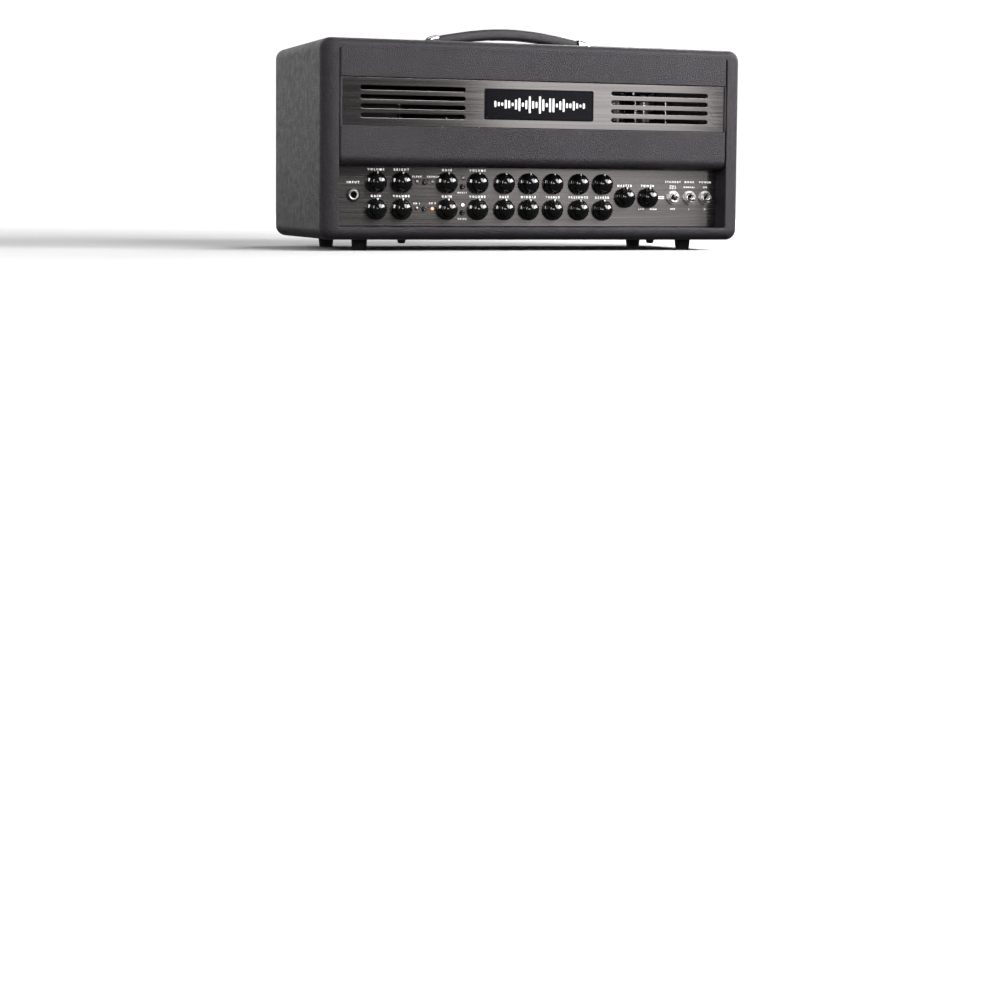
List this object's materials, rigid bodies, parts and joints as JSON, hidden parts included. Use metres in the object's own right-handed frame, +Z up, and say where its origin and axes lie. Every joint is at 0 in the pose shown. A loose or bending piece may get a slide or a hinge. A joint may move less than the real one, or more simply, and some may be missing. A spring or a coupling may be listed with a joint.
{
  "type": "guitar amplifier head",
  "caption": "Compact valve guitar amplifier head: vinyl-covered sleeve, slotted vent strip, recessed brushed control panel, strap handle and rubber feet.",
  "frame": {"origin": "on the floor plane, under the middle of the cabinet's footprint", "axes": "+X along the cabinet's width, -Y towards the control panel and the player, +Z up"},
  "size_m": [0.529, 0.243, 0.2699],
  "materials": {
    "vinyl": "matte",
    "strap_vinyl": "satin",
    "vent_metal": "satin",
    "badge_gloss": "gloss",
    "panel_metal": "satin",
    "knob_plastic": "gloss",
    "button_plastic": "satin",
    "chrome": "polished",
    "switch_metal": "satin",
    "circuit_board": "satin",
    "socket_black": "satin",
    "chassis_steel": "satin",
    "grille_steel": "satin",
    "transformer_steel": "satin",
    "tube_glass": "polished",
    "rubber_foot": "matte",
    "bolt_steel": "satin"
  },
  "bodies": {
    "cabinet": {"cabinet_shell": "vinyl", "front_rail_upper": "vinyl", "front_rail_lower": "vinyl", "vent_plate": "vent_metal", "badge_plate": "badge_gloss", "control_panel": "panel_metal", "input_jack": "socket_black", "toggle_switch_board": "switch_metal", "control_board": "circuit_board", "chassis": "chassis_steel", "valve_board": "circuit_board", "power_tube_1": "tube_glass", "power_tube_2": "tube_glass", "power_tube_3": "tube_glass", "power_tube_4": "tube_glass", "preamp_tube_1": "tube_glass", "preamp_tube_2": "tube_glass", "power_supply": "transformer_steel", "output_transformer": "transformer_steel", "rear_jack_board": "socket_black", "mains_inlet": "socket_black", "rear_grille": "grille_steel", "foot_front_left": "rubber_foot", "foot_front_right": "rubber_foot", "foot_rear_left": "rubber_foot", "foot_rear_right": "rubber_foot", "chassis_bolt_front_left": "bolt_steel", "chassis_bolt_front_right": "bolt_steel", "chassis_bolt_rear_left": "bolt_steel", "chassis_bolt_rear_right": "bolt_steel", "handle_cap_left": "chrome", "handle_cap_right": "chrome"},
    "knob_upper_1": {"knob_upper_1": "knob_plastic"},
    "knob_upper_2": {"knob_upper_2": "knob_plastic"},
    "knob_upper_3": {"knob_upper_3": "knob_plastic"},
    "knob_upper_4": {"knob_upper_4": "knob_plastic"},
    "knob_upper_5": {"knob_upper_5": "knob_plastic"},
    "knob_upper_6": {"knob_upper_6": "knob_plastic"},
    "knob_upper_7": {"knob_upper_7": "knob_plastic"},
    "knob_upper_8": {"knob_upper_8": "knob_plastic"},
    "knob_upper_9": {"knob_upper_9": "knob_plastic"},
    "knob_lower_1": {"knob_lower_1": "knob_plastic"},
    "knob_lower_2": {"knob_lower_2": "knob_plastic"},
    "knob_lower_3": {"knob_lower_3": "knob_plastic"},
    "knob_lower_4": {"knob_lower_4": "knob_plastic"},
    "knob_lower_5": {"knob_lower_5": "knob_plastic"},
    "knob_lower_6": {"knob_lower_6": "knob_plastic"},
    "knob_lower_7": {"knob_lower_7": "knob_plastic"},
    "knob_lower_8": {"knob_lower_8": "knob_plastic"},
    "knob_lower_9": {"knob_lower_9": "knob_plastic"},
    "knob_master": {"knob_master": "knob_plastic"},
    "knob_power": {"knob_power": "knob_plastic"},
    "push_button_1": {"push_button_1": "button_plastic"},
    "push_button_2": {"push_button_2": "button_plastic"},
    "push_button_3": {"push_button_3": "button_plastic"},
    "push_button_4": {"push_button_4": "button_plastic"},
    "toggle_lever_1": {"toggle_lever_1": "chrome"},
    "toggle_lever_2": {"toggle_lever_2": "chrome"},
    "toggle_lever_3": {"toggle_lever_3": "chrome"},
    "handle_strap": {"handle_strap": "strap_vinyl"}
  },
  "joints": [
    {"name": "knob_upper_1_turn", "type": "hinge", "parent": "cabinet", "child": "knob_upper_1", "pos_m": [-0.1925, -0.0935, 0.0797], "axis": [0, 1, 0], "range_deg": [-150, 150]},
    {"name": "knob_upper_2_turn", "type": "hinge", "parent": "cabinet", "child": "knob_upper_2", "pos_m": [-0.1615, -0.0935, 0.0797], "axis": [0, 1, 0], "range_deg": [-150, 150]},
    {"name": "knob_upper_3_turn", "type": "hinge", "parent": "cabinet", "child": "knob_upper_3", "pos_m": [-0.1055, -0.0935, 0.0797], "axis": [0, 1, 0], "range_deg": [-150, 150]},
    {"name": "knob_upper_4_turn", "type": "hinge", "parent": "cabinet", "child": "knob_upper_4", "pos_m": [-0.067, -0.0935, 0.0797], "axis": [0, 1, 0], "range_deg": [-150, 150]},
    {"name": "knob_upper_5_turn", "type": "hinge", "parent": "cabinet", "child": "knob_upper_5", "pos_m": [-0.0335, -0.0935, 0.0797], "axis": [0, 1, 0], "range_deg": [-150, 150]},
    {"name": "knob_upper_6_turn", "type": "hinge", "parent": "cabinet", "child": "knob_upper_6", "pos_m": [-0.0025, -0.0935, 0.0797], "axis": [0, 1, 0], "range_deg": [-150, 150]},
    {"name": "knob_upper_7_turn", "type": "hinge", "parent": "cabinet", "child": "knob_upper_7", "pos_m": [0.0285, -0.0935, 0.0797], "axis": [0, 1, 0], "range_deg": [-150, 150]},
    {"name": "knob_upper_8_turn", "type": "hinge", "parent": "cabinet", "child": "knob_upper_8", "pos_m": [0.062, -0.0935, 0.0797], "axis": [0, 1, 0], "range_deg": [-150, 150]},
    {"name": "knob_upper_9_turn", "type": "hinge", "parent": "cabinet", "child": "knob_upper_9", "pos_m": [0.093, -0.0935, 0.0797], "axis": [0, 1, 0], "range_deg": [-150, 150]},
    {"name": "knob_lower_1_turn", "type": "hinge", "parent": "cabinet", "child": "knob_lower_1", "pos_m": [-0.1925, -0.0935, 0.0487], "axis": [0, 1, 0], "range_deg": [-150, 150]},
    {"name": "knob_lower_2_turn", "type": "hinge", "parent": "cabinet", "child": "knob_lower_2", "pos_m": [-0.1615, -0.0935, 0.0487], "axis": [0, 1, 0], "range_deg": [-150, 150]},
    {"name": "knob_lower_3_turn", "type": "hinge", "parent": "cabinet", "child": "knob_lower_3", "pos_m": [-0.1055, -0.0935, 0.0487], "axis": [0, 1, 0], "range_deg": [-150, 150]},
    {"name": "knob_lower_4_turn", "type": "hinge", "parent": "cabinet", "child": "knob_lower_4", "pos_m": [-0.067, -0.0935, 0.0487], "axis": [0, 1, 0], "range_deg": [-150, 150]},
    {"name": "knob_lower_5_turn", "type": "hinge", "parent": "cabinet", "child": "knob_lower_5", "pos_m": [-0.0335, -0.0935, 0.0487], "axis": [0, 1, 0], "range_deg": [-150, 150]},
    {"name": "knob_lower_6_turn", "type": "hinge", "parent": "cabinet", "child": "knob_lower_6", "pos_m": [-0.0025, -0.0935, 0.0487], "axis": [0, 1, 0], "range_deg": [-150, 150]},
    {"name": "knob_lower_7_turn", "type": "hinge", "parent": "cabinet", "child": "knob_lower_7", "pos_m": [0.0285, -0.0935, 0.0487], "axis": [0, 1, 0], "range_deg": [-150, 150]},
    {"name": "knob_lower_8_turn", "type": "hinge", "parent": "cabinet", "child": "knob_lower_8", "pos_m": [0.062, -0.0935, 0.0487], "axis": [0, 1, 0], "range_deg": [-150, 150]},
    {"name": "knob_lower_9_turn", "type": "hinge", "parent": "cabinet", "child": "knob_lower_9", "pos_m": [0.093, -0.0935, 0.0487], "axis": [0, 1, 0], "range_deg": [-150, 150]},
    {"name": "knob_master_turn", "type": "hinge", "parent": "cabinet", "child": "knob_master", "pos_m": [0.1225, -0.0935, 0.0642], "axis": [0, 1, 0], "range_deg": [-150, 150]},
    {"name": "knob_power_turn", "type": "hinge", "parent": "cabinet", "child": "knob_power", "pos_m": [0.153, -0.0935, 0.0642], "axis": [0, 1, 0], "range_deg": [-150, 150]},
    {"name": "push_button_1_press", "type": "slide", "parent": "cabinet", "child": "push_button_1", "axis": [0, 1, 0], "range_m": [0, 0.0025], "stiffness_N_per_m": 150},
    {"name": "push_button_2_press", "type": "slide", "parent": "cabinet", "child": "push_button_2", "axis": [0, 1, 0], "range_m": [0, 0.0025], "stiffness_N_per_m": 150},
    {"name": "push_button_3_press", "type": "slide", "parent": "cabinet", "child": "push_button_3", "axis": [0, 1, 0], "range_m": [0, 0.0025], "stiffness_N_per_m": 150},
    {"name": "push_button_4_press", "type": "slide", "parent": "cabinet", "child": "push_button_4", "axis": [0, 1, 0], "range_m": [0, 0.0025], "stiffness_N_per_m": 150},
    {"name": "toggle_lever_1_flick", "type": "hinge", "parent": "cabinet", "child": "toggle_lever_1", "pos_m": [0.187, -0.0955, 0.0645], "axis": [1, 0, 0], "range_deg": [0, 24]},
    {"name": "toggle_lever_2_flick", "type": "hinge", "parent": "cabinet", "child": "toggle_lever_2", "pos_m": [0.209, -0.0955, 0.0645], "axis": [1, 0, 0], "range_deg": [-24, 0]},
    {"name": "toggle_lever_3_flick", "type": "hinge", "parent": "cabinet", "child": "toggle_lever_3", "pos_m": [0.2305, -0.0955, 0.0645], "axis": [1, 0, 0], "range_deg": [-24, 0]},
    {"name": "handle_lift", "type": "slide", "parent": "cabinet", "child": "handle_strap", "axis": [0, 0, 1], "range_m": [0, 0.0035]}
  ]
}
